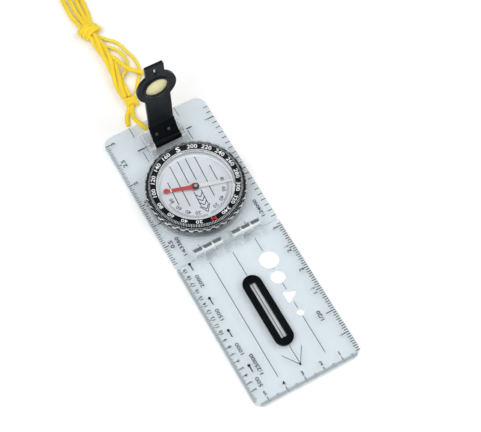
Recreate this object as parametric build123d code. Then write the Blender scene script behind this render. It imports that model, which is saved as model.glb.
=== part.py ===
"""Sighting compass: a clear folding baseplate with a turning dial, a flip-up eye sight and a neck lanyard.

Frame: +Z is up, +Y is the direction of travel (towards the foot of the lower plate), +X is the side with
the map scales in metres. The origin lies on the dial's axis, on the underside of the upper plate.
"""
import math
import os

from build123d import *

# Driving dimensions, in millimetres and degrees.
PLATE_WIDTH = 57.0
HALF_LENGTH = 80.5          # each half of the folding baseplate
PLATE_THICK = 2.5
PLATE_CORNER = 5.5
FOLD_CORNER = 1.0
EDGE_CHAMFER = 0.35
FOLD_Y = 31.9               # the fold line, ahead of the dial's axis
FOLD_GAP = 0.4
HEAD_Y = FOLD_Y - HALF_LENGTH
FOOT_Y = FOLD_Y + HALF_LENGTH

# Fold hinge.
HINGE_Z = 8.0
KNUCKLE_R = 2.5
KNUCKLE_PITCH = 5.2
KNUCKLE_LENGTH = 4.9
KNUCKLE_FOOT = 5.2          # how far a knuckle's web reaches along its plate
HINGE_PIN_R = 2.0
RUNNING_CLEARANCE = 0.06
UPPER_KNUCKLES = (-2, 0, 2)
LOWER_KNUCKLES = (-3, -1, 1, 3)

# Openings of the plates.
SLOT_SIZE = (15.0, 4.8)
SLOT_Y = HEAD_Y + 4.6
STENCIL_CIRCLES = ((-13.6, 49.2, 5.0), (-12.9, 59.2, 3.8), (-13.2, 80.2, 2.0))
STENCIL_TRIANGLE = ((-10.5, 66.2), (-17.9, 69.6), (-10.3, 74.4))

# Front sight in the lower plate.
FRONT_SIGHT_Y = 72.1
FRONT_SIGHT_SIZE = (9.8, 39.6)
FRONT_SIGHT_FLANGE = 1.0
FRONT_SIGHT_LIP = 0.6       # how far the flange reaches over the plate
FRONT_WINDOW = (3.2, 31.5)
PANE_LOW, PANE_THICK = 0.4, 1.0
HAIR_R = 0.15

# Dial, from the collar outwards and upwards.
WINDOW_R = 19.4
BEZEL_LOW = 3.6
COLLAR_FLANGE_R = 26.0
COLLAR_FLANGE = 0.8
GROOVE_IN, GROOVE_OUT, GROOVE_WIDE, GROOVE_TOP = 20.8, 22.7, 23.2, 6.6
GROOVE_SHOULDER = 5.2
SNAP_GAP = 0.3
BEZEL_R = 24.6
BAND_LOW, BAND_R = 8.0, 24.9
GRIP_R, GRIP_INNER_R, GRIP_LOW, GRIP_TOP = 25.1, 23.8, 8.6, 10.0
LOBE_COUNT = 36
LOBE_CUT_R, LOBE_CUT_AT = 1.6, 25.95
BEZEL_TOP = 10.2
RIM_TOP, CREST_R, CREST_TOP, TICK_R = 11.0, 22.1, 11.6, 23.5
RIM_SEAT_R = 22.6
CAPSULE_WALL = 0.5
CAPSULE_FLOOR_TOP = 5.8
CARD_R, CARD_THICK = 17.9, 0.8
COVER_LOW, COVER_THICK = 9.9, 0.9
DIAL_TURN = -3.2            # the bearing that the dial is turned to

# Needle.
POST_R, POST_FOOT_R, POST_TOP = 0.5, 1.1, 8.62
JEWEL_R, CAP_R, CAP_LOW, CAP_TOP = 0.9, 1.7, 7.9, 9.2
JEWEL_BORE_TOP = 8.7
BLADE_LOW, BLADE_THICK = 8.15, 0.35
NORTH_LENGTH, NORTH_HALF_WIDTH, NORTH_TIP_R = 16.1, 0.95, 1.35
SOUTH_LENGTH, SOUTH_HALF_WIDTH = 18.2, 1.0
NEEDLE_TURN = -18.0         # the red half's direction, from +X

# Eye sight.
SIGHT_Y, SIGHT_Z = -30.3, 8.7
ROLL_R, ROLL_LENGTH = 2.2, 14.2
SIGHT_PIN_R = 0.8
SHEET = 1.5
LEAF_WIDTH, LEAF_LENGTH, LEAF_LEAN = 14.0, 10.6, 55.0
LEAF_END = 10.2
LAP_START, LAP_END, LAP_THICK = 4.2, 11.0, 1.0
RIVET_AT, RIVET_X, RIVET_SHIFT = 5.3, 3.4, 1.0
RIVET_R, RIVET_HEAD_R, RIVET_HEAD = 0.55, 0.8, 0.25
ARM_WIDTH, ARM_LENGTH = 13.3, 44.8
ARM_LEAN, ARM_SKEW = 95.5, 1.3   # back from +Y, and sideways towards -X
EYE_AT, EYE_RING_R, LENS_R = 28.3, 10.4, 5.9
LENS_THICK, LENS_DOME_R = 1.3, 24.0
RETAINER_R, RETAINER_HEIGHT = 7.1, 0.5
TAB_WIDTH = 9.9
NOTCH_SIZE, NOTCH_AT = (0.9, 4.2), 40.3
EAR_INNER, EAR_OUTER, EAR_R = 7.4, 9.8, 2.7
BRACKET_WIDTH, BRACKET_THICK = 22.0, 1.0
BRACKET_BACK, BRACKET_FRONT = -41.0, -27.2
RAIL_TOP = 5.6

# Lanyard: one braided cord, bundled, knotted and partly coiled. Routes are points on its middle line.
CORD_D = 2.5
BUNDLE_D = 6.2
ARC_SHARE = 0.45
BUNDLE_ROUTE = [
    (5.3, -64.0, 3.2), (5.9, -70.2, 3.2), (4.6, -78.3, 3.2), (3.3, -87.5, 3.2), (3.7, -96.9, 3.2),
    (4.4, -106.6, 3.3),
]
NECK_OUT_ROUTE = [
    (6.9, -113.4, 3.0), (8.2, -119.6, 1.7), (8.7, -127.6, 1.25), (7.9, -137.2, 1.25), (7.2, -147.0, 1.25),
    (8.2, -155.5, 1.25),
]
NECK_BACK_ROUTE = [
    (-3.6, -148.1, 3.2), (1.9, -146.2, 2.2), (4.1, -141.6, 1.4), (4.6, -135.6, 1.25), (5.2, -127.2, 1.25),
    (5.1, -119.4, 1.7), (4.9, -113.6, 3.0),
]
SIDE_ROUTE = [
    (4.0, -110.2, 3.4), (2.9, -113.2, 3.0), (0.6, -119.3, 1.7), (-0.6, -126.2, 1.25), (-1.0, -132.8, 1.25),
    (-2.4, -139.2, 1.5), (-3.3, -143.1, 1.6),
]
SECOND_SIDE_ROUTE = [
    (5.0, -109.8, 4.2), (4.0, -113.6, 3.6), (2.8, -119.4, 2.0), (2.4, -126.4, 1.25), (1.8, -133.0, 1.25),
    (-0.4, -138.4, 1.6), (-2.6, -141.6, 2.6),
]
LOOP_A_ROUTE = [
    (2.2, -106.6, 2.6), (-0.7, -103.0, 1.6), (-4.6, -99.6, 1.25), (-6.5, -95.4, 1.25), (-7.2, -90.6, 1.25),
    (-8.8, -85.9, 1.25), (-8.9, -79.9, 1.25), (-6.6, -74.7, 1.25), (-3.4, -70.9, 1.25), (-0.6, -66.4, 1.4),
    (2.2, -63.0, 2.2),
]
LOOP_B_ROUTE = [
    (3.4, -103.6, 4.2), (2.9, -100.8, 4.4), (1.6, -98.4, 3.4), (-1.2, -96.6, 1.7), (-3.6, -93.8, 1.25),
    (-4.6, -90.0, 1.25), (-4.9, -86.2, 1.25), (-4.1, -82.6, 1.4), (-1.7, -79.8, 2.4), (1.2, -78.2, 3.4),
    (2.6, -75.6, 3.6),
]
STRAND_ROUTE = [
    (1.2, -89.6, 4.4), (-0.6, -84.6, 4.1), (-1.9, -79.6, 4.6), (-4.8, -76.2, 4.7), (-8.4, -73.5, 4.4),
    (-11.6, -69.9, 2.4), (-12.9, -64.6, 1.25), (-11.6, -59.2, 1.4), (-8.6, -54.6, 3.4), (-5.9, -49.9, 4.9),
    (-4.9, -46.2, 4.1), (-4.9, -44.6, 1.9),
]
ANCHOR_ROUTE = [
    (6.0, -58.6, 2.2), (7.6, -54.6, 3.0), (8.3, -50.6, 4.8), (7.2, -47.0, 5.0), (5.7, -44.8, 3.4),
    (5.2, -44.0, 1.4),
]
TAIL_ROUTE = [(6.7, -59.4, 2.0), (9.6, -56.4, 1.3), (11.4, -53.4, 1.25), (12.2, -50.4, 1.25)]
UPPER_KNOT = ((4.6, -110.4, 3.7), (10.4, 8.6, 7.4), 3.2)
LOWER_KNOT = ((4.6, -61.4, 3.0), (7.0, 6.4, 6.0), 2.6)
SIDE_KNOT = ((-2.9, -141.4, 2.2), (5.0, 5.4, 4.4), 1.9)
COIL_CENTRE = (-8.0, -161.0)
COIL_MIDDLE_R = 12.9
COIL_WIDTH, COIL_HEIGHT, COIL_FILLET = 9.6, 5.0, 1.8
TIE_LENGTH, TIE_THICK, TIE_ANGLE = 5.0, 0.6, 250.0


def prism_x(points, half_width):
    """A solid between -half_width and +half_width along X, from its outline of (y, z) points."""
    face = make_face(Polyline(*[(0, y, z) for y, z in points], close=True))
    return extrude(face, amount=half_width, dir=(1, 0, 0), both=True)


def turned(points):
    """A solid of revolution about Z, from its outline of (radius, z) points."""
    return revolve(make_face(Polyline(*[(r, 0, z) for r, z in points], close=True)), Axis.Z)


def ring(outer, inner, low, high):
    return Pos(0, 0, low) * extrude(Circle(outer) - Circle(inner), high - low)


def x_rod(radius, length, x, y, z):
    return Pos(x, y, z) * Cylinder(radius, length, rotation=(0, 90, 0))


def knuckle(index, side, bore_r):
    """A hinge barrel and its web; side is +1 on the lower plate and -1 on the upper one."""
    x = index * KNUCKLE_PITCH
    web = prism_x(
        [
            (FOLD_Y + side * 0.3, PLATE_THICK),
            (FOLD_Y + side * KNUCKLE_FOOT, PLATE_THICK),
            (FOLD_Y + side * KNUCKLE_R * 0.96, HINGE_Z + 0.7),
            (FOLD_Y + side * 0.3, HINGE_Z),
        ],
        KNUCKLE_LENGTH / 2,
    )
    body = Pos(x, 0, 0) * web + x_rod(KNUCKLE_R, KNUCKLE_LENGTH, x, FOLD_Y, HINGE_Z)
    if bore_r:
        body -= x_rod(bore_r, 2 * KNUCKLE_LENGTH, x, FOLD_Y, HINGE_Z)
    return body


def half_plate(side):
    """One half of the baseplate, with large corners at its free end and small ones at the fold."""
    length = HALF_LENGTH - FOLD_GAP / 2
    outline = Pos(0, FOLD_Y + side * (HALF_LENGTH + FOLD_GAP / 2) / 2) * Rectangle(PLATE_WIDTH, length)
    by_y = outline.vertices().sort_by(Axis.Y)
    free, fold = (by_y[2:], by_y[:2]) if side > 0 else (by_y[:2], by_y[2:])
    outline = fillet(free, PLATE_CORNER)
    fold = outline.vertices().sort_by_distance((0, FOLD_Y, 0)).filter_by(lambda v: abs(v.Y - FOLD_Y) < 1)
    outline = fillet(fold, FOLD_CORNER)
    plate = extrude(outline, PLATE_THICK)
    return chamfer(plate.faces().sort_by(Axis.Z)[-1].edges(), EDGE_CHAMFER)


def upper_plate():
    plate = half_plate(-1)
    for index in UPPER_KNUCKLES:
        plate += knuckle(index, -1, HINGE_PIN_R if index else 0)
    return plate - Pos(0, SLOT_Y, 0) * extrude(SlotOverall(*SLOT_SIZE), PLATE_THICK)


def front_sight_hole():
    inner_width = FRONT_SIGHT_SIZE[0] - 2 * FRONT_SIGHT_LIP
    inner_length = FRONT_SIGHT_SIZE[1] - 2 * FRONT_SIGHT_LIP
    return Rot(0, 0, 90) * SlotOverall(inner_length, inner_width)


def lower_plate():
    plate = half_plate(1)
    for index in LOWER_KNUCKLES:
        plate += knuckle(index, 1, HINGE_PIN_R + RUNNING_CLEARANCE)
    plate -= Pos(0, FRONT_SIGHT_Y, 0) * extrude(front_sight_hole(), PLATE_THICK)
    for x, y, radius in STENCIL_CIRCLES:
        plate -= Pos(x, y, 0) * extrude(Circle(radius), PLATE_THICK)
    triangle = make_face(Polyline(*STENCIL_TRIANGLE, close=True))
    return plate - extrude(fillet(triangle.vertices(), 0.6), PLATE_THICK)


def front_sight_frame():
    flange = Rot(0, 0, 90) * SlotOverall(FRONT_SIGHT_SIZE[1], FRONT_SIGHT_SIZE[0])
    top = Pos(0, 0, PLATE_THICK) * extrude(flange, FRONT_SIGHT_FLANGE)
    top = chamfer(top.faces().sort_by(Axis.Z)[-1].edges(), 0.3)
    body = top + extrude(front_sight_hole(), PLATE_THICK)
    body -= extrude(Rectangle(*FRONT_WINDOW), PLATE_THICK + FRONT_SIGHT_FLANGE)
    return Pos(0, FRONT_SIGHT_Y, 0) * body


def front_sight_pane():
    return Pos(0, FRONT_SIGHT_Y, PANE_LOW) * extrude(Rectangle(*FRONT_WINDOW), PANE_THICK)


def front_sight_hairline():
    rod = Cylinder(HAIR_R, FRONT_WINDOW[1], rotation=(90, 0, 0))
    return Pos(0, FRONT_SIGHT_Y, PANE_LOW + PANE_THICK + HAIR_R) * rod


def hinge_pin(side):
    """A steel pin through three knuckles, on one side of the solid middle knuckle."""
    inner = KNUCKLE_PITCH - KNUCKLE_LENGTH / 2
    outer = 3 * KNUCKLE_PITCH + KNUCKLE_LENGTH / 2
    return x_rod(HINGE_PIN_R, outer - inner, side * (outer + inner) / 2, FOLD_Y, HINGE_Z)


def dial_collar():
    """The fixed ring that the bezel snaps over."""
    flange_top = PLATE_THICK + COLLAR_FLANGE
    stem_top = GROOVE_TOP - SNAP_GAP
    return turned(
        [
            (GROOVE_IN + SNAP_GAP, PLATE_THICK),
            (COLLAR_FLANGE_R, PLATE_THICK),
            (COLLAR_FLANGE_R - 0.3, flange_top),
            (GROOVE_OUT - SNAP_GAP, flange_top),
            (GROOVE_OUT - SNAP_GAP, GROOVE_SHOULDER + SNAP_GAP),
            (GROOVE_WIDE - SNAP_GAP, GROOVE_SHOULDER + SNAP_GAP),
            (GROOVE_WIDE - SNAP_GAP - 0.2, stem_top),
            (GROOVE_IN + SNAP_GAP, stem_top),
        ]
    )


def bezel_ring():
    return turned(
        [
            (WINDOW_R, BEZEL_LOW),
            (GROOVE_IN, BEZEL_LOW),
            (GROOVE_IN, GROOVE_TOP),
            (GROOVE_WIDE, GROOVE_TOP),
            (GROOVE_WIDE, GROOVE_SHOULDER),
            (GROOVE_OUT, GROOVE_SHOULDER),
            (GROOVE_OUT, BEZEL_LOW),
            (BEZEL_R - 0.4, BEZEL_LOW),
            (BEZEL_R, BEZEL_LOW + 0.4),
            (BEZEL_R, BAND_LOW),
            (RIM_SEAT_R, BAND_LOW),
            (RIM_SEAT_R, BEZEL_TOP),
            (WINDOW_R, BEZEL_TOP),
        ]
    )


def degree_ring():
    """The black ring that carries the numbers on its inner slope and the degree marks on its outer one."""
    return turned(
        [
            (WINDOW_R, BEZEL_TOP),
            (WINDOW_R, RIM_TOP),
            (CREST_R - 0.25, CREST_TOP - 0.05),
            (CREST_R + 0.1, CREST_TOP - 0.1),
            (TICK_R, BEZEL_TOP),
            (GRIP_INNER_R, GRIP_TOP - 0.3),
            (GRIP_INNER_R, GRIP_LOW),
            (BAND_R, GRIP_LOW),
            (BAND_R, BAND_LOW),
            (RIM_SEAT_R, BAND_LOW),
            (RIM_SEAT_R, BEZEL_TOP),
        ]
    )


def grip_ring():
    """The scalloped ring that fingers turn."""
    body = ring(GRIP_R, GRIP_INNER_R, GRIP_LOW, GRIP_TOP)
    body = chamfer(body.faces().sort_by(Axis.Z)[-1].edges().sort_by(SortBy.LENGTH)[-1], 0.35)
    for i in range(LOBE_COUNT):
        angle = DIAL_TURN + 360 / LOBE_COUNT * (i + 0.5)
        cut = Pos(LOBE_CUT_AT, 0, (GRIP_LOW + GRIP_TOP) / 2) * Cylinder(LOBE_CUT_R, 4)
        body -= Rot(0, 0, angle) * cut
    return body


def capsule_housing():
    inner = WINDOW_R - CAPSULE_WALL
    cup = ring(WINDOW_R, inner, CAPSULE_FLOOR_TOP, COVER_LOW)
    return cup + Pos(0, 0, BEZEL_LOW) * extrude(Circle(WINDOW_R), CAPSULE_FLOOR_TOP - BEZEL_LOW)


def capsule_cover():
    disc = Pos(0, 0, COVER_LOW) * extrude(Circle(WINDOW_R), COVER_THICK)
    return chamfer(disc.faces().sort_by(Axis.Z)[-1].edges(), 0.25)


def capsule_card():
    """The printed card under the needle."""
    disc = Pos(0, 0, CAPSULE_FLOOR_TOP) * extrude(Circle(CARD_R), CARD_THICK)
    return chamfer(disc.faces().sort_by(Axis.Z)[-1].edges(), 0.3)


def pivot_post():
    base = CAPSULE_FLOOR_TOP + CARD_THICK
    return turned(
        [
            (0, base),
            (POST_FOOT_R, base),
            (POST_FOOT_R, base + 0.3),
            (POST_R, base + 0.7),
            (POST_R, POST_TOP),
            (0, POST_TOP),
        ]
    )


def needle_jewel():
    body = ring(JEWEL_R, POST_R + RUNNING_CLEARANCE, CAP_LOW, JEWEL_BORE_TOP)
    return body + Pos(0, 0, JEWEL_BORE_TOP) * extrude(Circle(JEWEL_R), CAP_TOP + 0.1 - JEWEL_BORE_TOP)


def needle_cap():
    cap = ring(CAP_R, JEWEL_R, CAP_LOW, CAP_TOP)
    return chamfer(cap.faces().sort_by(Axis.Z)[-1].edges().sort_by(SortBy.LENGTH)[-1], 0.25)


def needle_blade(outline, turn):
    blade = extrude(outline - Circle(CAP_R), BLADE_THICK)
    return Pos(0, 0, BLADE_LOW) * Rot(0, 0, turn) * blade


def needle_north():
    w = NORTH_HALF_WIDTH
    tip_x = NORTH_LENGTH - NORTH_TIP_R
    splay = [(0.6, -2.2), (3.1, -w), (tip_x, -w * 0.8), (tip_x, w * 0.8), (3.1, w), (0.6, 2.2)]
    shaft = make_face(Polyline(*splay, close=True))
    return needle_blade(shaft + Pos(tip_x, 0) * Circle(NORTH_TIP_R), NEEDLE_TURN)


def needle_south():
    w = SOUTH_HALF_WIDTH
    taper = [(0.9, -w), (SOUTH_LENGTH, -0.45 * w), (SOUTH_LENGTH, 0.45 * w), (0.9, w)]
    outline = make_face(Polyline(*taper, close=True))
    return needle_blade(outline, NEEDLE_TURN + 180)


def lean(angle):
    """Unit vectors in the Y-Z plane: along a sheet leaning at that angle from +Y, and out of its front."""
    a = math.radians(angle)
    return (math.cos(a), math.sin(a)), (math.sin(a), -math.cos(a))


def sheet_point(origin, angle, along, out):
    direction, normal = lean(angle)
    return tuple(o + along * d + out * n for o, d, n in zip(origin, direction, normal))


def on_leaf(along, out):
    return sheet_point((SIGHT_Y, SIGHT_Z), 180 - LEAF_LEAN, along, out)


def arm_plane():
    """A plane on the arm's middle, with its origin at the bend, +X across the arm and +Y up along it."""
    direction, normal = lean(ARM_LEAN)
    y, z = on_leaf(LEAF_LENGTH, 0)
    skew = math.radians(ARM_SKEW)
    across = (-math.cos(skew), *(-math.sin(skew) * d for d in direction))
    return Plane(origin=(0, y, z), x_dir=across, z_dir=(0, *normal))


def sight_leaf():
    """The rolled hinge leaf at the foot of the eye sight."""
    half = SHEET / 2
    corners = [on_leaf(0, -half), on_leaf(LEAF_END, -half), on_leaf(LEAF_END, half), on_leaf(0, half)]
    sheet = prism_x(corners, LEAF_WIDTH / 2)
    body = sheet + x_rod(ROLL_R, ROLL_LENGTH, 0, SIGHT_Y, SIGHT_Z)
    body -= x_rod(SIGHT_PIN_R + RUNNING_CLEARANCE, 2 * ROLL_LENGTH, 0, SIGHT_Y, SIGHT_Z)
    return body - rivets(RIVET_R)


def rivets(head_r):
    """The two rivets through leaf and arm, or the holes for them when head_r is the shank's radius."""
    _, normal = lean(180 - LEAF_LEAN)
    group = None
    for side in (-1, 1):
        y, z = on_leaf(RIVET_AT, -SHEET / 2 - LAP_THICK)
        x = side * RIVET_X + RIVET_SHIFT
        plane = Plane(origin=(x, y, z), x_dir=(1, 0, 0), z_dir=(0, *normal))
        rivet = plane * extrude(Circle(RIVET_R), SHEET + LAP_THICK)
        rivet += plane * Pos(0, 0, SHEET + LAP_THICK) * extrude(Circle(head_r), RIVET_HEAD)
        group = rivet if group is None else group + rivet
    return group


def sight_arm():
    """The upright arm with its eye ring and notched tab, lapped behind the leaf."""
    half = SHEET / 2
    lap = prism_x(
        [
            on_leaf(LAP_START, -half),
            on_leaf(LAP_START, -half - LAP_THICK),
            on_leaf(LAP_END, -half - LAP_THICK),
            on_leaf(LAP_END, half),
            on_leaf(LEAF_END, half),
            on_leaf(LEAF_END, -half),
        ],
        ARM_WIDTH / 2,
    )
    outline = Pos(0, EYE_AT / 2) * Rectangle(ARM_WIDTH, EYE_AT)
    outline += Pos(0, EYE_AT) * Circle(EYE_RING_R)
    tab = Pos(0, (EYE_AT + ARM_LENGTH) / 2) * Rectangle(TAB_WIDTH, ARM_LENGTH - EYE_AT)
    outline += fillet(tab.vertices().sort_by(Axis.Y)[-2:], 0.8)
    outline -= Pos(0, EYE_AT) * Circle(LENS_R)
    outline -= Pos(0, NOTCH_AT) * Rectangle(*NOTCH_SIZE)
    arm = arm_plane() * extrude(outline, half, both=True)
    return arm + lap - rivets(RIVET_R)


def eye_lens():
    disc = Cylinder(LENS_R, LENS_THICK) & Pos(0, 0, LENS_THICK / 2 - LENS_DOME_R) * Sphere(LENS_DOME_R)
    return arm_plane() * Pos(0, EYE_AT, 0) * disc


def lens_retainer():
    rim = extrude(Circle(RETAINER_R) - Circle(LENS_R), RETAINER_HEIGHT)
    return arm_plane() * Pos(0, EYE_AT, SHEET / 2) * rim


def sight_bracket():
    """The clear cradle on the upper plate that holds the eye sight's pin."""
    length = BRACKET_FRONT - BRACKET_BACK
    pad = extrude(Rectangle(BRACKET_WIDTH, length), BRACKET_THICK)
    pad = Pos(0, (BRACKET_FRONT + BRACKET_BACK) / 2, PLATE_THICK) * pad
    pad_top = PLATE_THICK + BRACKET_THICK
    ear = [
        (SIGHT_Y + EAR_R, pad_top),
        (SIGHT_Y + EAR_R, SIGHT_Z),
        (SIGHT_Y - EAR_R, SIGHT_Z),
        (SIGHT_Y - EAR_R, RAIL_TOP),
        (BRACKET_BACK + 1.5, RAIL_TOP),
        (BRACKET_BACK, pad_top),
    ]
    width = EAR_OUTER - EAR_INNER
    for side in (-1, 1):
        x = side * (EAR_INNER + EAR_OUTER) / 2
        cheek = Pos(x, 0, 0) * prism_x(ear, width / 2) + x_rod(EAR_R, width, x, SIGHT_Y, SIGHT_Z)
        pad += cheek
    return pad - x_rod(SIGHT_PIN_R, 3 * EAR_OUTER, 0, SIGHT_Y, SIGHT_Z)


def sight_pin():
    return x_rod(SIGHT_PIN_R, 2 * EAR_OUTER, 0, SIGHT_Y, SIGHT_Z)


def cord_tube(name, route, diameter):
    """A cord along straight runs joined by the widest tangent arcs that the runs allow."""
    points = [Vector(*p) for p in route]
    radii = []
    for a, b, c in zip(points, points[1:], points[2:]):
        before, after = b - a, c - b
        turn = math.radians(before.get_angle(after))
        radii.append(ARC_SHARE * min(before.length, after.length) / math.tan(turn / 2))
    path = FilletPolyline(*points, radius=radii)
    tube = sweep(Plane(origin=path @ 0, z_dir=path % 0) * Circle(diameter / 2), path=path)
    share = tube.volume / (math.pi * diameter**2 / 4 * path.length)
    print(f"{name}: {path.length:.1f} mm, tightest arc {min(radii):.1f} mm, volume share {share:.3f}")
    return tube


def knot(middle, size, round_r):
    block = Box(*size)
    return Pos(*middle) * fillet(block.edges(), round_r)


def neck_coil():
    """The outer shape of the coiled neck cord."""
    inner, outer = COIL_MIDDLE_R - COIL_WIDTH / 2, COIL_MIDDLE_R + COIL_WIDTH / 2
    body = ring(outer, inner, 0, COIL_HEIGHT)
    return Pos(*COIL_CENTRE, 0) * fillet(body.edges(), COIL_FILLET)


def coil_tie():
    """The band round one side of the coil."""
    wide, high = COIL_WIDTH + 2 * TIE_THICK, COIL_HEIGHT + TIE_THICK
    band = Pos(COIL_MIDDLE_R, 0, high / 2) * Box(wide, TIE_LENGTH, high)
    band = fillet(band.edges().filter_by(Axis.Y).sort_by(Axis.Z)[-2:], COIL_FILLET + TIE_THICK)
    return Pos(*COIL_CENTRE, 0) * Rot(0, 0, TIE_ANGLE) * band


NODES = {
    "upper_plate": upper_plate(),
    "dial_collar": dial_collar(),
    "sight_bracket": sight_bracket(),
    "sight_pin": sight_pin(),
    "hinge_pin_left": hinge_pin(1),
    "hinge_pin_right": hinge_pin(-1),
    "bezel_ring": bezel_ring(),
    "degree_ring": degree_ring(),
    "grip_ring": grip_ring(),
    "capsule_housing": capsule_housing(),
    "capsule_cover": capsule_cover(),
    "capsule_card": capsule_card(),
    "pivot_post": pivot_post(),
    "needle_cap": needle_cap(),
    "needle_jewel": needle_jewel(),
    "needle_north": needle_north(),
    "needle_south": needle_south(),
    "lower_plate": lower_plate(),
    "front_sight_frame": front_sight_frame(),
    "front_sight_pane": front_sight_pane(),
    "front_sight_hairline": front_sight_hairline(),
    "sight_leaf": sight_leaf(),
    "sight_arm": sight_arm(),
    "sight_rivets": rivets(RIVET_HEAD_R),
    "eye_lens": eye_lens(),
    "lens_retainer": lens_retainer(),
    "lanyard_bundle": cord_tube("lanyard_bundle", BUNDLE_ROUTE, BUNDLE_D),
    "lanyard_neck_out": cord_tube("lanyard_neck_out", NECK_OUT_ROUTE, CORD_D),
    "lanyard_neck_back": cord_tube("lanyard_neck_back", NECK_BACK_ROUTE, CORD_D),
    "lanyard_neck_coil": neck_coil(),
    "lanyard_coil_tie": coil_tie(),
    "lanyard_side": cord_tube("lanyard_side", SIDE_ROUTE, CORD_D),
    "lanyard_second_side": cord_tube("lanyard_second_side", SECOND_SIDE_ROUTE, CORD_D),
    "lanyard_loop_a": cord_tube("lanyard_loop_a", LOOP_A_ROUTE, CORD_D),
    "lanyard_loop_b": cord_tube("lanyard_loop_b", LOOP_B_ROUTE, CORD_D),
    "lanyard_strand": cord_tube("lanyard_strand", STRAND_ROUTE, CORD_D),
    "lanyard_anchor": cord_tube("lanyard_anchor", ANCHOR_ROUTE, CORD_D),
    "lanyard_tail": cord_tube("lanyard_tail", TAIL_ROUTE, CORD_D),
    "lanyard_upper_knot": knot(*UPPER_KNOT),
    "lanyard_lower_knot": knot(*LOWER_KNOT),
    "lanyard_side_knot": knot(*SIDE_KNOT),
}

os.makedirs("parts", exist_ok=True)
for node, solid in NODES.items():
    export_step(solid, f"parts/{node}.step")
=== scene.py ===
"""Looks of the sighting compass: camera, braided lanyard, printed scales, materials, floor and light.

Lengths are written in millimetres in the part's own frame and become metres through MM.
"""
import math

import bmesh
import bpy
from mathutils import Matrix, Vector


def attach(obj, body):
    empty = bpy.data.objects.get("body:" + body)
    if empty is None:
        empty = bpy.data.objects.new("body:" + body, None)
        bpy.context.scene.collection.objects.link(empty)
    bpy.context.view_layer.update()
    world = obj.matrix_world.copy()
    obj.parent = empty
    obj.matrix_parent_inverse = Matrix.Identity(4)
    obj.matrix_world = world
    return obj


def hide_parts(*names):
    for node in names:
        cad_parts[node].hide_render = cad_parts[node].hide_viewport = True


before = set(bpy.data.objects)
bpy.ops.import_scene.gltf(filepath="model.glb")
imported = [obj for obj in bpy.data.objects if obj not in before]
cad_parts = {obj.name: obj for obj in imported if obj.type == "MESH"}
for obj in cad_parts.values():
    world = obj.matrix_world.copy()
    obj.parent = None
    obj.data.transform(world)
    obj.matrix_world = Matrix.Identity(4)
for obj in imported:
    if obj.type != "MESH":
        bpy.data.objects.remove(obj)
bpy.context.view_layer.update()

MM = 0.001

# ---------------------------------------------------------------------------------------------- camera
CAMERA_AT = (125.02, 266.93, 581.5)
CAMERA_RIGHT = (-0.87418, 0.48560, 0.00289)
CAMERA_UP = (-0.43586, -0.78724, 0.43620)
CAMERA_BACK = (0.21409, 0.38006, 0.89984)


def make_camera():
    data = bpy.data.cameras.new("camera")
    data.lens = 98.0
    data.sensor_width = 36.0
    data.clip_start = 0.05
    data.clip_end = 20.0
    camera = bpy.data.objects.new("camera", data)
    bpy.context.scene.collection.objects.link(camera)
    axes = Matrix((CAMERA_RIGHT, CAMERA_UP, CAMERA_BACK)).transposed()
    camera.matrix_world = Matrix.Translation(Vector(CAMERA_AT) * MM) @ axes.to_4x4()
    bpy.context.scene.camera = camera


make_camera()

# ---------------------------------------------------------------------------------------------- nodes


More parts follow.
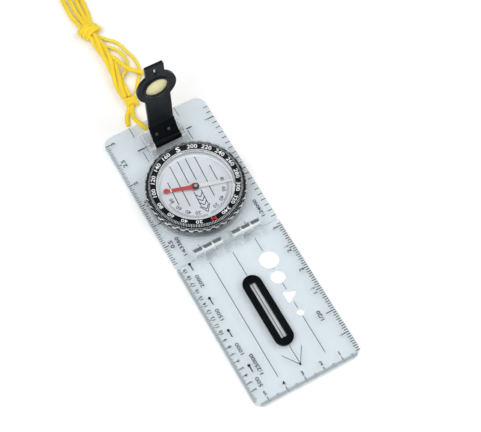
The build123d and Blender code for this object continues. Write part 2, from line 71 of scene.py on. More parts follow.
class Nodes:
    """A material under construction, with short calls for the nodes it needs."""

    def __init__(self, name):
        self.material = bpy.data.materials.new(name)
        self.material.use_nodes = True
        self.tree = self.material.node_tree
        self.tree.nodes.clear()
        self.output = self.tree.nodes.new("ShaderNodeOutputMaterial")

    def node(self, kind, **settings):
        made = self.tree.nodes.new("ShaderNode" + kind)
        for key, value in settings.items():
            setattr(made, key, value)
        return made

    def put(self, socket, value):
        if hasattr(value, "is_output"):
            self.tree.links.new(value, socket)
        else:
            socket.default_value = value

    def math(self, operation, a, b=0.0, c=0.0):
        made = self.node("Math", operation=operation)
        for socket, value in zip(made.inputs, (a, b, c)):
            self.put(socket, value)
        return made.outputs[0]

    def coordinates(self, stretch=(1, 1, 1)):
        mapping = self.node("Mapping")
        mapping.inputs["Scale"].default_value = stretch
        self.put(mapping.inputs["Vector"], self.node("TexCoord").outputs["Object"])
        return mapping.outputs[0]

    def split(self, vector):
        made = self.node("SeparateXYZ")
        self.put(made.inputs[0], vector)
        return made.outputs

    def normal(self):
        return self.split(self.node("TexCoord").outputs["Normal"])

    def noise(self, scale, detail=2.0, stretch=(1, 1, 1), rough=0.5):
        made = self.node("TexNoise")
        made.inputs["Scale"].default_value = scale
        made.inputs["Detail"].default_value = detail
        made.inputs["Roughness"].default_value = rough
        self.put(made.inputs["Vector"], self.coordinates(stretch))
        return made.outputs["Fac"]

    def ramp(self, fac, stops):
        made = self.node("ValToRGB")
        elements = made.color_ramp.elements
        while len(elements) < len(stops):
            elements.new(0.5)
        for element, (at, colour) in zip(elements, stops):
            element.position = at
            element.color = (*colour, 1)
        self.put(made.inputs[0], fac)
        return made.outputs[0]

    def span(self, value, low, high, to_low, to_high):
        made = self.node("MapRange")
        for socket, number in zip(made.inputs, (value, low, high, to_low, to_high)):
            self.put(socket, number)
        return made.outputs[0]

    def bump(self, height, distance, strength=1.0):
        made = self.node("Bump")
        made.inputs["Strength"].default_value = strength
        made.inputs["Distance"].default_value = distance
        self.put(made.inputs["Height"], height)
        return made.outputs[0]

    def principled(self, **values):
        made = self.node("BsdfPrincipled")
        for key, value in values.items():
            self.put(made.inputs[key.replace("_", " ")], value)
        return made.outputs[0]

    def blend(self, fac, a, b):
        """A colour between a and b."""
        made = self.node("Mix", data_type="RGBA")
        self.put(made.inputs["Factor"], fac)
        self.put(made.inputs[6], a)
        self.put(made.inputs[7], b)
        return made.outputs[2]

    def mix(self, fac, a, b):
        made = self.node("MixShader")
        self.put(made.inputs[0], fac)
        self.put(made.inputs[1], a)
        self.put(made.inputs[2], b)
        return made.outputs[0]

    def done(self, shader):
        self.put(self.output.inputs["Surface"], shader)
        return self.material


def rgb(*colour):
    return (*colour, 1.0)


# A round region, along X, where edges scatter little, as painted shade. Its middle is 2.5 mm on the head
# side of the fold's axis (y 31.9), so it covers only the part of each hinge knuckle that faces the head of
# the plate and keeps that part clearer and darker.
CLEAR_SPOT_Y, CLEAR_SPOT_Z = 29.4, 8.0
CLEAR_SPOT_IN, CLEAR_SPOT_OUT = 0.0027, 0.0030
CLEAR_SPOT_SCATTER = 0.08
OVER_PLATE = (0.0026, 0.0028)   # heights between which a surface begins to count as above the plate
# Painted highlight: the hinge walls above the plate that face along X get this much extra white scatter.
PAINTED_WALL_HIGHLIGHT = 3.2            # extra scatter of the walls above the plate that face along X
MIRROR_HEAD_ON, MIRROR_GLANCING = 0.035, 0.70


def clear_plastic(
    name, tint, film, body, edge_film, edge_body, gloss=0.04, deep=0.95, streak=(1, 1, 1), raised=1.0
):
    """Thin clear plastic: light passes straight through, a little is scattered, and the edges scatter more.
    Where edge_body is paler than body, the pale walls are a painted highlight.

    `raised` scales the mirror above the plate. Under one, it also whitens the walls there that face along X,
    as a painted highlight.
    """
    n = Nodes(name)
    cloud = n.noise(60, 3, streak)
    fine = n.noise(900, 2)
    normal_x, _, normal_z = n.normal()
    _, y, z = n.split(n.coordinates())
    steep = n.span(n.math("ABSOLUTE", normal_z), 0.35, 0.93, 1.0, 0.0)
    off_y = n.math("SUBTRACT", y, CLEAR_SPOT_Y * MM)
    off_z = n.math("SUBTRACT", z, CLEAR_SPOT_Z * MM)
    off_spot = n.math("SQRT", n.math("MULTIPLY_ADD", off_y, off_y, n.math("MULTIPLY", off_z, off_z)))
    # painted shade: edges scatter little inside the spot
    outside_shaded_spot = n.span(off_spot, CLEAR_SPOT_IN, CLEAR_SPOT_OUT, CLEAR_SPOT_SCATTER, 1.0)
    edge = n.math("MULTIPLY", steep, outside_shaded_spot)
    clear = n.node("BsdfTransparent")
    clear.inputs["Color"].default_value = rgb(*tint)
    face = n.ramp(cloud, [(0.38, [c * deep for c in body]), (0.62, body)])
    scatter = n.principled(
        Base_Color=n.blend(edge, face, rgb(*edge_body)),
        Roughness=n.span(fine, 0.3, 0.7, 0.16, 0.30),
        IOR=1.49,
        Normal=n.bump(fine, 0.00002, 0.35),
    )
    above = n.span(z, *OVER_PLATE, 0.0, 1.0)
    # painted highlight on the walls above the plate that face along X
    if raised < 1:
        sideways = n.math("GREATER_THAN", n.math("ABSOLUTE", normal_x), 0.9)
        painted_wall = n.math("MULTIPLY", n.math("MULTIPLY", sideways, above), PAINTED_WALL_HIGHLIGHT)
        edge = n.math("MAXIMUM", edge, painted_wall)
    clouded_film = n.span(cloud, 0.3, 0.7, film * 0.85, film * 1.15)
    film_here = n.math("MULTIPLY_ADD", edge, edge_film - film, clouded_film)
    inside = n.mix(film_here, clear.outputs[0], scatter)
    mirror = n.node("BsdfGlossy")
    mirror.inputs["Color"].default_value = rgb(1, 1, 1)
    mirror.inputs["Roughness"].default_value = gloss
    glancing = n.math("POWER", n.node("LayerWeight").outputs["Facing"], 5.0)
    reflected = n.math("MULTIPLY_ADD", glancing, MIRROR_GLANCING, MIRROR_HEAD_ON)
    shine = n.math("MULTIPLY", reflected, n.math("MULTIPLY_ADD", above, raised - 1, 1.0))
    return n.done(n.mix(shine, inside, mirror.outputs[0]))


def solid_plastic(name, dark, light, rough, grain, grain_depth, specular=0.5, coat=0.0, mottle=80):
    """Moulded or painted surface with fine grain, slight mottle and varying gloss."""
    n = Nodes(name)
    mottled = n.noise(mottle, 4)
    fine = n.noise(grain, 3, rough=0.65)
    shade = n.math("MULTIPLY_ADD", fine, 0.35, n.math("MULTIPLY", mottled, 0.65))
    colour = n.ramp(shade, [(0.32, dark), (0.68, light)])
    return n.done(
        n.principled(
            Base_Color=colour,
            Roughness=n.span(mottled, 0.3, 0.7, rough[0], rough[1]),
            Specular_IOR_Level=specular,
            Coat_Weight=coat,
            Coat_Roughness=0.12,
            Normal=n.bump(fine, grain_depth, 0.8),
        )
    )


def brushed_steel(name, stretch, dark=(0.50, 0.50, 0.49), light=(0.80, 0.79, 0.77), rough=(0.14, 0.30)):
    n = Nodes(name)
    lines = n.noise(220, 4, stretch=stretch, rough=0.7)
    marks = n.noise(500, 3)
    return n.done(
        n.principled(
            Base_Color=n.ramp(lines, [(0.25, dark), (0.75, light)]),
            Metallic=1.0,
            Roughness=n.span(marks, 0.3, 0.7, *rough),
            Normal=n.bump(lines, 0.00002, 0.5),
        )
    )


HALF_PITCH = 0.0026             # half the spacing of the hinge knuckles
# half width of the painted highlight bands at the knuckle gaps
GAP_HIGHLIGHT_BAND = 0.0005


def pin_steel_painted_reflection(name):
    """Polished hinge pin with a painted reflection: dark where it faces the head of the plate and bright
    where it faces its foot.

    Pale bands at the gaps between the knuckles are painted highlights.
    """
    n = Nodes(name)
    _, normal_y, _ = n.normal()
    x, _, _ = n.split(n.coordinates())
    lines = n.noise(220, 4, stretch=(0.08, 1, 1), rough=0.7)
    # painted reflection: the colour follows whether the surface faces the head or the foot of the plate
    turn = n.math("MULTIPLY_ADD", lines, 0.12, normal_y)
    from_gap = n.math("PINGPONG", n.math("SUBTRACT", n.math("ABSOLUTE", x), HALF_PITCH), HALF_PITCH)
    # painted highlight bands at the gaps between the knuckles
    gap_highlight = n.math("LESS_THAN", from_gap, GAP_HIGHLIGHT_BAND)
    body = n.ramp(
        n.span(turn, -0.8, 1.0, 0.0, 1.0),
        [
            (0.0, (0.30, 0.30, 0.28)),
            (0.25, (0.13, 0.13, 0.11)),
            (0.58, (0.20, 0.20, 0.17)),
            (0.68, (0.93, 0.93, 0.89)),
            (0.92, (0.97, 0.97, 0.95)),
            (1.0, (0.45, 0.44, 0.38)),
        ],
    )
    return n.done(
        n.principled(
            Base_Color=n.blend(gap_highlight, body, rgb(0.90, 0.92, 0.92)),
            Metallic=0.45,
            Roughness=n.span(n.noise(500, 3), 0.3, 0.7, 0.14, 0.26),
            Normal=n.bump(lines, 0.00002, 0.5),
        )
    )


WALL_LOW, WALL_TOP = 0.0066, 0.0099


def stepped_wall(name):
    """Pale frosted wall of the capsule, with painted highlight and shade rings that stand for the light on
    moulded steps.
    """
    n = Nodes(name)
    _, _, z = n.split(n.coordinates())
    cloud = n.noise(90, 3)
    height = n.math("MULTIPLY_ADD", cloud, 0.0001, z)
    # painted highlight and shade rings, by height
    painted_step_light = n.ramp(
        n.span(height, WALL_LOW, WALL_TOP, 0.0, 1.0),
        [
            (0.0, (0.93, 0.95, 0.96)),
            (0.16, (0.93, 0.95, 0.96)),
            (0.24, (0.66, 0.70, 0.73)),
            (0.52, (0.74, 0.78, 0.81)),
            (0.57, (0.22, 0.24, 0.26)),
            (0.63, (0.22, 0.24, 0.26)),
            (0.68, (0.58, 0.62, 0.66)),
            (0.88, (0.66, 0.70, 0.74)),
            (0.96, (0.96, 0.97, 0.98)),
        ],
    )
    clear = n.node("BsdfTransparent")
    frosted = n.principled(
        Base_Color=painted_step_light,
        Roughness=n.span(cloud, 0.3, 0.7, 0.24, 0.38),
        IOR=1.49,
        Normal=n.bump(n.noise(1800, 2), 0.00001, 0.4),
    )
    return n.done(n.mix(0.92, clear.outputs[0], frosted))


INNER_WALL_R = 0.01946
INNER_WALL_LOW, INNER_WALL_TOP = 0.0100, 0.0111


def number_band(name):
    """Black outside and on top, with a pale wall round the window that is painted light and shade: darker
    low down, lightest at its top rim.
    """
    n = Nodes(name)
    x, y, z = n.split(n.coordinates())
    radius = n.math("SQRT", n.math("ADD", n.math("MULTIPLY", x, x), n.math("MULTIPLY", y, y)))
    painted_wall = n.math("LESS_THAN", radius, INNER_WALL_R)
    # painted light and shade on the inner wall: darker low down, a painted highlight at the top rim
    painted_step_light = n.ramp(
        n.span(z, INNER_WALL_LOW, INNER_WALL_TOP, 0.0, 1.0),
        [(0.0, (0.30, 0.32, 0.34)), (0.45, (0.62, 0.65, 0.68)), (0.8, (0.92, 0.94, 0.95))],
    )
    fine = n.noise(3500, 3, rough=0.65)
    black = n.ramp(fine, [(0.32, (0.002, 0.003, 0.004)), (0.68, (0.007, 0.009, 0.011))])
    return n.done(
        n.principled(
            Base_Color=n.blend(painted_wall, black, painted_step_light),
            Roughness=n.span(n.noise(80, 4), 0.3, 0.7, 0.34, 0.46),
            Specular_IOR_Level=0.12,
            Normal=n.bump(fine, 0.00002, 0.8),
        )
    )


YARNS = 8                       # yarn lines to each half wave of the weave


def braid_material(name, deep, mid, top):
    """Braided polyester: over-and-under yarns by the tube's own UVs, with sheen and faded patches; the
    sunken parts of the weave are painted darker as shade.
    """
    n = Nodes(name)
    u, v, _ = n.split(n.node("TexCoord").outputs["UV"])
    rising = n.math("ADD", u, v)
    falling = n.math("SUBTRACT", u, v)
    wave_a = n.math("SINE", n.math("MULTIPLY", rising, math.pi))
    wave_b = n.math("SINE", n.math("MULTIPLY", falling, math.pi))
    product = n.math("MULTIPLY", wave_a, wave_b)
    height = n.math("POWER", n.math("ABSOLUTE", product), 0.6)
    over = n.math("GREATER_THAN", product, 0.0)
    under = n.math("SUBTRACT", 1.0, over)
    yarns_a = n.math("SINE", n.math("MULTIPLY", rising, YARNS * math.pi))
    yarns_b = n.math("SINE", n.math("MULTIPLY", falling, YARNS * math.pi))
    yarns = n.math("ADD", n.math("MULTIPLY", yarns_a, over), n.math("MULTIPLY", yarns_b, under))
    faded = n.noise(180, 4)
    weave_and_crevice_shade = n.math("MULTIPLY_ADD", yarns, 0.07, n.math("MULTIPLY", height, 0.72))
    shade = n.math("ADD", weave_and_crevice_shade, n.math("MULTIPLY", faded, 0.34))
    # deep is the painted shade where the weave sinks; mid and top colour the rising and raised yarns
    colour = n.ramp(shade, [(0.10, deep), (0.45, mid), (0.95, top)])
    relief = n.math("MULTIPLY_ADD", yarns, 0.16, height)
    return n.done(
        n.principled(
            Base_Color=colour,
            Roughness=n.span(faded, 0.3, 0.7, 0.55, 0.8),
            Sheen_Weight=0.35,
            Sheen_Roughness=0.4,
            Subsurface_Weight=0.12,
            Subsurface_Radius=(0.0012, 0.0007, 0.0002),
            Subsurface_Scale=0.6,
            Normal=n.bump(relief, 0.00012, 0.8),
        )
    )


ACRYLIC = clear_plastic(
    "acrylic", (0.937, 0.960, 0.974), 0.065, (0.68, 0.75, 0.79), 0.22, (0.92, 0.96, 0.98), raised=0.3
)
# the pale walls of the bracket's ears are a painted edge highlight
PARTS_CLEAR = clear_plastic(
    "clear_parts", (0.978, 0.985, 0.990), 0.07, (0.88, 0.91, 0.93), 0.60, (0.98, 0.99, 0.99)
)
# the white walls of the grip's lobes are a painted highlight
GRIP = clear_plastic("grip_clear", (0.93, 0.95, 0.96), 0.02, (0.40, 0.43, 0.46), 0.95, (1.0, 1.0, 1.0))
HOUSING = stepped_wall("frosted_wall")
COLLAR = clear_plastic(
    "collar_clear", (0.985, 0.990, 0.993), 0.04, (0.80, 0.84, 0.87), 0.25, (0.93, 0.95, 0.96)
)
BEZEL = clear_plastic(
    "bezel_clear", (0.97, 0.98, 0.985), 0.06, (0.30, 0.32, 0.34), 0.90, (0.012, 0.014, 0.017)
)
COVER = clear_plastic(
    "clear_cover", (0.990, 0.993, 0.995), 0.01, (0.90, 0.92, 0.94), 0.20, (0.95, 0.96, 0.97), 0.02
)
PANE = clear_plastic(
    "sight_pane", (0.96, 0.975, 0.99), 0.66, (0.90, 0.96, 1.0), 0.66, (0.92, 0.95, 0.97), 0.05
)
LENS = clear_plastic(
    "lens_glass", (0.99, 0.955, 0.58), 0.66, (1.0, 0.92, 0.44), 0.80, (1.0, 0.95, 0.60),
    gloss=0.02, deep=0.78, streak=(0.4, 1, 5),
)
CARD = solid_plastic("card", (0.60, 0.64, 0.68), (0.69, 0.73, 0.77), (0.38, 0.5), 1500, 0.00001, mottle=120)
BLACK = solid_plastic(
    "black_plastic", (0.001, 0.002, 0.003), (0.004, 0.005, 0.006), (0.32, 0.46), 3500, 0.00002, 0.06
)
SIGHT_BLACK = solid_plastic(
    "sight_paint", (0.004, 0.006, 0.008), (0.010, 0.014, 0.016), (0.30, 0.42), 2600, 0.00003, 0.28, 0.03
)
RIM_BLACK = solid_plastic(
    "rim_gloss", (0.002, 0.002, 0.003), (0.006, 0.006, 0.007), (0.16, 0.24), 3000, 0.00001, 0.3, 0.15
)
RED = solid_plastic(
    "needle_red", (0.42, 0.020, 0.020), (0.58, 0.040, 0.040), (0.30, 0.42), 2200, 0.00001, 0.5, 0.2
)
FAINT = clear_plastic(
    "needle_clear", (0.985, 0.985, 0.980), 0.60, (0.97, 0.96, 0.93), 0.70, (1.0, 0.99, 0.96), 0.05
)
WHITE = solid_plastic(
    "needle_white", (0.80, 0.74, 0.72), (0.90, 0.84, 0.82), (0.34, 0.46), 2200, 0.00001, 0.5, 0.2
)
JEWEL = solid_plastic(
    "jewel", (0.30, 0.30, 0.28), (0.50, 0.50, 0.47), (0.16, 0.26), 2500, 0.00001, 0.6, 0.5
)
INK = solid_plastic(
    "black_ink", (0.006, 0.010, 0.014), (0.022, 0.028, 0.034), (0.55, 0.7), 5000, 0.00001, 0.2
)
PALE_INK = solid_plastic(
    "faint_ink", (0.05, 0.06, 0.07), (0.11, 0.12, 0.14), (0.55, 0.7), 5000, 0.00001, 0.2
)
WHITE_INK = solid_plastic(
    "white_ink", (0.74, 0.76, 0.78), (0.88, 0.90, 0.91), (0.5, 0.65), 5000, 0.00001, 0.3
)
GREY_INK = solid_plastic(
    "grey_ink", (0.42, 0.45, 0.48), (0.58, 0.61, 0.64), (0.5, 0.65), 5000, 0.00001, 0.3
)
RED_INK = solid_plastic(
    "red_ink", (0.48, 0.020, 0.025), (0.62, 0.035, 0.040), (0.5, 0.65), 5000, 0.00001, 0.3
)
BAND = number_band("number_band")
# the first colour given to each braid is its painted crevice shade
TIE = braid_material("tie_band", (0.004, 0.004, 0.004), (0.012, 0.012, 0.013), (0.030, 0.030, 0.032))
STEEL = brushed_steel("steel", (0.08, 1, 1))
PIN_PAINTED_REFLECTION = pin_steel_painted_reflection("pin_steel_painted_reflection")
RIVET_STEEL = brushed_steel("rivet_steel", (1, 1, 1), (0.05, 0.06, 0.07), (0.16, 0.17, 0.18), (0.34, 0.46))
YELLOW = braid_material("yellow_braid", (0.74, 0.34, 0.002), (0.97, 0.67, 0.006), (1.0, 0.86, 0.050))
YELLOW_THIN = braid_material("yellow_loop", (0.68, 0.43, 0.006), (0.92, 0.71, 0.030), (1.0, 0.90, 0.17))

NODE_MATERIALS = {
    "upper_plate": ACRYLIC,
    "lower_plate": ACRYLIC,
    "sight_bracket": PARTS_CLEAR,
    "dial_collar": COLLAR,
    "bezel_ring": BEZEL,
    "grip_ring": GRIP,
    "capsule_housing": HOUSING,
    "capsule_cover": COVER,
    "front_sight_pane": PANE,
    "capsule_card": CARD,
    "degree_ring": BAND,
    "front_sight_frame": BLACK,
    "front_sight_hairline": BLACK,
    "needle_cap": RIM_BLACK,
    "lens_retainer": RIM_BLACK,
    "sight_leaf": BLACK,
    "sight_arm": SIGHT_BLACK,
    "sight_pin": STEEL,
    "sight_rivets": RIVET_STEEL,
    "hinge_pin_left": PIN_PAINTED_REFLECTION,
    "hinge_pin_right": PIN_PAINTED_REFLECTION,
    "pivot_post": STEEL,
    "needle_jewel": JEWEL,
    "needle_north": RED,
    "needle_south": FAINT,
    "eye_lens": LENS,
}
for node_name, material in NODE_MATERIALS.items():
    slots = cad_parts[node_name].data.materials
    for slot_index in range(len(slots)):
        slots[slot_index] = material
    if not len(slots):
        slots.append(material)

# ---------------------------------------------------------------------------------------------- lanyard
CORD_D = 2.5
BRAID_CELLS = 6             # yarn crossings round the cord
BRAID_PITCH = 1.5           # length of one crossing
BRAID_RELIEF = 0.14

BUNDLE_ROUTE = [
    (5.3, -64.0, 3.2), (5.9, -70.2, 3.2), (4.6, -78.3, 3.2), (3.3, -87.5, 3.2), (3.7, -96.9, 3.2),
    (4.4, -106.6, 3.3),
]
NECK_OUT_ROUTE = [
    (6.9, -113.4, 3.0), (8.2, -119.6, 1.7), (8.7, -127.6, 1.25), (7.9, -137.2, 1.25), (7.2, -147.0, 1.25),
    (8.2, -155.5, 1.25),
]
NECK_BACK_ROUTE = [
    (-3.6, -148.1, 3.2), (1.9, -146.2, 2.2), (4.1, -141.6, 1.4), (4.6, -135.6, 1.25), (5.2, -127.2, 1.25),
    (5.1, -119.4, 1.7), (4.9, -113.6, 3.0),
]
SIDE_ROUTE = [
    (4.0, -110.2, 3.4), (2.9, -113.2, 3.0), (0.6, -119.3, 1.7), (-0.6, -126.2, 1.25), (-1.0, -132.8, 1.25),
    (-2.4, -139.2, 1.5), (-3.3, -143.1, 1.6),
]
SECOND_SIDE_ROUTE = [
    (5.0, -109.8, 4.2), (4.0, -113.6, 3.6), (2.8, -119.4, 2.0), (2.4, -126.4, 1.25), (1.8, -133.0, 1.25),
    (-0.4, -138.4, 1.6), (-2.6, -141.6, 2.6),
]
LOOP_A_ROUTE = [
    (2.2, -106.6, 2.6), (-0.7, -103.0, 1.6), (-4.6, -99.6, 1.25), (-6.5, -95.4, 1.25), (-7.2, -90.6, 1.25),
    (-8.8, -85.9, 1.25), (-8.9, -79.9, 1.25), (-6.6, -74.7, 1.25), (-3.4, -70.9, 1.25), (-0.6, -66.4, 1.4),
    (2.2, -63.0, 2.2),
]
LOOP_B_ROUTE = [
    (3.4, -103.6, 4.2), (2.9, -100.8, 4.4), (1.6, -98.4, 3.4), (-1.2, -96.6, 1.7), (-3.6, -93.8, 1.25),
    (-4.6, -90.0, 1.25), (-4.9, -86.2, 1.25), (-4.1, -82.6, 1.4), (-1.7, -79.8, 2.4), (1.2, -78.2, 3.4),
    (2.6, -75.6, 3.6),
]
STRAND_ROUTE = [
    (1.2, -89.6, 4.4), (-0.6, -84.6, 4.1), (-1.9, -79.6, 4.6), (-4.8, -76.2, 4.7), (-8.4, -73.5, 4.4),
    (-11.6, -69.9, 2.4), (-12.9, -64.6, 1.25), (-11.6, -59.2, 1.4), (-8.6, -54.6, 3.4), (-5.9, -49.9, 4.9),
    (-4.9, -46.2, 4.1), (-4.9, -44.6, 1.9),
]
ANCHOR_ROUTE = [
    (5.2, -44.0, 1.4), (5.7, -44.8, 3.4), (7.2, -47.0, 5.0), (8.3, -50.6, 4.8), (7.6, -54.6, 3.0),
    (6.0, -58.6, 2.2), (4.2, -61.6, 2.4), (4.6, -63.4, 3.4), (6.4, -62.6, 3.4), (6.7, -59.4, 2.0),
    (9.6, -56.4, 1.3), (11.4, -53.4, 1.25), (12.2, -50.4, 1.25),
]
COIL_CENTRE = (-8.0, -161.0)
COIL_MIDDLE_R = 12.9
COIL_START, COIL_TURNS = 18.7, 4.854
COIL_LOW_TURNS = 3.0
COIL_LOW_R, COIL_LOW_PITCH = 16.5, 2.4      # outermost low turn, and how far each turn goes in
COIL_TOP_R, COIL_TOP_PITCH = 9.3, 2.32      # innermost top turn, and how far each turn goes out
COIL_LOW_Z, COIL_TOP_Z = 1.25, 3.75
COIL_CLIMB = 0.25           # part of a turn in which the cord climbs a layer, or comes down at its end
COIL_END_DROP = 0.55
COIL_WANDER = 0.2
COIL_POINTS = 16            # points for each turn


def coil_points():
    """The coil's turns: spiralling inwards on the table, then outwards on top of themselves."""
    points = []
    for i in range(1, round(COIL_TURNS * COIL_POINTS)):
        turn = i / COIL_POINTS
        wander = COIL_WANDER * math.sin(2.3 * turn * 2 * math.pi + 1.0)
        if turn < COIL_LOW_TURNS:
            radius = COIL_LOW_R - COIL_LOW_PITCH * turn
            climb = max(0.0, turn - COIL_LOW_TURNS + COIL_CLIMB) / COIL_CLIMB
            height = COIL_LOW_Z + (COIL_TOP_Z - COIL_LOW_Z) * climb
        else:
            radius = COIL_TOP_R + COIL_TOP_PITCH * (turn - COIL_LOW_TURNS)
            drop = max(0.0, turn - COIL_TURNS + COIL_CLIMB) / COIL_CLIMB
            height = COIL_TOP_Z - COIL_END_DROP * drop
        angle = math.radians(COIL_START - 360 * turn)
        x = COIL_CENTRE[0] + (radius + wander) * math.cos(angle)
        y = COIL_CENTRE[1] + (radius + wander) * math.sin(angle)
        points.append((x, y, height))
    return points


def route_line(name, route):
    """Points along the smooth NURBS line of a route, in millimetres."""
    curve = bpy.data.curves.new(name, "CURVE")
    curve.dimensions = "3D"
    spline = curve.splines.new("NURBS")
    spline.points.add(len(route) - 1)
    for point, place in zip(spline.points, route):
        point.co = (*place, 1.0)
    spline.order_u = 3
    spline.use_endpoint_u = True
    spline.resolution_u = 12
    holder = bpy.data.objects.new(name, curve)
    mesh = bpy.data.meshes.new_from_object(holder)
    line = [v.co.copy() for v in mesh.vertices]
    bpy.data.objects.remove(holder)
    bpy.data.curves.remove(curve)
    bpy.data.meshes.remove(mesh)
    return line


def even(line, step):
    """The same line with its points a step apart."""
    out = [line[0].copy()]
    carried = 0.0
    for a, b in zip(line, line[1:]):
        length = (b - a).length
        while carried + length >= step and length > 1e-9:
            a = a.lerp(b, (step - carried) / length)
            out.append(a.copy())
            length = (b - a).length
            carried = 0.0
        carried += length
    if (line[-1] - out[-1]).length > step * 0.3:
        out.append(line[-1].copy())
    return out


def frames(line):
    """A tangent and two steady cross directions at each point of a line."""
    last = len(line) - 1
    tangents = [(line[min(i + 1, last)] - line[max(i - 1, 0)]).normalized() for i in range(last + 1)]
    side = tangents[0].cross(Vector((0, 0, 1)))
    if side.length < 0.1:
        side = tangents[0].cross(Vector((1, 0, 0)))
    side.normalize()
    out = []
    for tangent in tangents:
        side = (side - tangent * side.dot(tangent)).normalized()
        out.append((tangent, side, tangent.cross(side)))
    return out


def add_braid(mesh, uvs, line, radius, around=24):
    """A closed braided tube along a line, its yarn crossings raised, with UVs that count crossings."""
    ends = 3
    count = len(line)
    rings = []
    travelled = 0.0
    ups = []
    for i, (point, (_, side, up)) in enumerate(zip(line, frames(line))):
        if i:
            travelled += (point - line[i - 1]).length
        v = travelled / BRAID_PITCH
        edge = min(i, count - 1 - i)
        narrow = 1.0 if edge >= ends else math.sqrt(1 - (1 - edge / ends) ** 2) * 0.75 + 0.25
        ring = []
        for k in range(around):
            u = BRAID_CELLS * k / around
            weave = abs(math.sin(math.pi * (u + v)) * math.sin(math.pi * (u - v))) ** 0.6
            r = radius * narrow - BRAID_RELIEF * (1 - weave) * narrow
            a = 2 * math.pi * k / around
            ring.append(mesh.verts.new((point + side * (r * math.cos(a)) + up * (r * math.sin(a))) * MM))
        rings.append(ring)
        ups.append(v)
    for i in range(count - 1):
        for k in range(around):
            j = (k + 1) % around
            face = mesh.faces.new((rings[i][k], rings[i][j], rings[i + 1][j], rings[i + 1][k]))
            face.smooth = True
            u0, u1 = BRAID_CELLS * k / around, BRAID_CELLS * (k + 1) / around
            corners = ((u0, ups[i]), (u1, ups[i]), (u1, ups[i + 1]), (u0, ups[i + 1]))
            for loop, uv in zip(face.loops, corners):
                loop[uvs].uv = uv
    mesh.faces.new(list(reversed(rings[0])))
    mesh.faces.new(rings[-1])


def braided(name, lines, radius, material, around=24):
    """One piece made of braided tubes along the given lines."""
    mesh = bmesh.new()
    uvs = mesh.loops.layers.uv.new("UVMap")
    for line in lines:
        add_braid(mesh, uvs, line, radius, around)
    bmesh.ops.recalc_face_normals(mesh, faces=mesh.faces)
    data = bpy.data.meshes.new(name)
    mesh.to_mesh(data)
    mesh.free()
    data.materials.append(material)
    piece = bpy.data.objects.new(name, data)
    bpy.context.scene.collection.objects.link(piece)
    return piece


def twisted(line, offset, turn_length, phase, swell=0.0):
    """A strand that winds round a line at an offset."""
    out = []
    travelled = 0.0
    for i, (point, (_, side, up)) in enumerate(zip(line, frames(line))):
        if i:
            travelled += (point - line[i - 1]).length
        angle = phase + 2 * math.pi * travelled / turn_length
        r = offset + swell * math.sin(1.7 * travelled / turn_length * 2 * math.pi + 2 * phase)
        out.append(point + side * (r * math.cos(angle)) + up * (r * math.sin(angle)))
    return out


def on_cord(piece, *nodes):
    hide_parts(*nodes)
    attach(piece, "base")


STEP = 0.36                 # spacing of a cord's rings
KNOT_STEP = 0.4
LOOP_A_R, LOOP_B_R = 0.95, 0.9      # the loops are drawn thinner than the cord, and than their CAD solids


def cord_piece(
    name, route, nodes,
    material=YELLOW, radius=CORD_D / 2,
):
    line = even(route_line(name, route), STEP)
    piece = braided(name, [line], radius, material)
    on_cord(piece, *nodes)


def wrapped_knot(middle, heading, half_wide, half_long, half_tall, wraps, strand):
    """Strands of a tight knot: wraps round the cord's heading, a tuck slanting over them, a core inside."""
    along = Vector((math.cos(math.radians(heading)), math.sin(math.radians(heading)), 0))
    side = Vector((-along.y, along.x, 0))
    centre = Vector(middle)
    wide, tall, reach = half_wide - strand, half_tall - strand, half_long - strand
    winding = []
    for i in range(round(wraps * 48) + 1):
        t = i / 48
        angle = 2 * math.pi * t - 0.6
        slip = reach * (2 * t / wraps - 1) + 0.35 * strand * math.sin(angle + 0.8)
        swell = 1 - 0.18 * (2 * t / wraps - 1) ** 2
        winding.append(
            centre
            + along * slip
            + side * (wide * swell * math.cos(angle))
            + Vector((0, 0, tall * swell * math.sin(angle)))
        )
    tuck = []
    for i in range(61):
        t = i / 60
        bow = math.sin(math.pi * t)
        tuck.append(
            centre
            + along * (reach * 1.1 * (1 - 2 * t))
            + side * (wide * 1.05 * math.cos(math.pi * t))
            + Vector((0, 0, tall * 1.32 * bow - 0.2 * tall))
        )
    core = [centre + along * (reach * 1.25 * (i / 8 - 1)) for i in range(17)]
    return [even(line, KNOT_STEP) for line in (winding, tuck, core)]


UPPER_KNOT = wrapped_knot((4.6, -110.4, 3.6), -72, 5.6, 4.6, 3.4, 3.0, 1.25)
LOWER_KNOT = wrapped_knot((4.7, -61.4, 2.9), -100, 3.7, 3.3, 2.8, 2.0, 1.25)
SIDE_KNOT = wrapped_knot((-2.9, -141.4, 2.2), -122, 2.7, 2.8, 2.1, 2.0, 1.1)

knot_upper = braided("knot_upper", UPPER_KNOT, CORD_D / 2, YELLOW)
on_cord(knot_upper, "lanyard_upper_knot")
knot_lower = braided("knot_lower", LOWER_KNOT, CORD_D / 2, YELLOW)
on_cord(knot_lower, "lanyard_lower_knot")
knot_side = braided("knot_side", SIDE_KNOT, 1.1, YELLOW)
on_cord(knot_side, "lanyard_side_knot")


TIE_ANGLE = 250             # where on the coil the tie sits, in degrees from +X
TIE_TURNS = 4
TIE_MIDDLE_Z = 2.8
TIE_HALF_WIDE, TIE_HALF_TALL = 4.9, 2.3


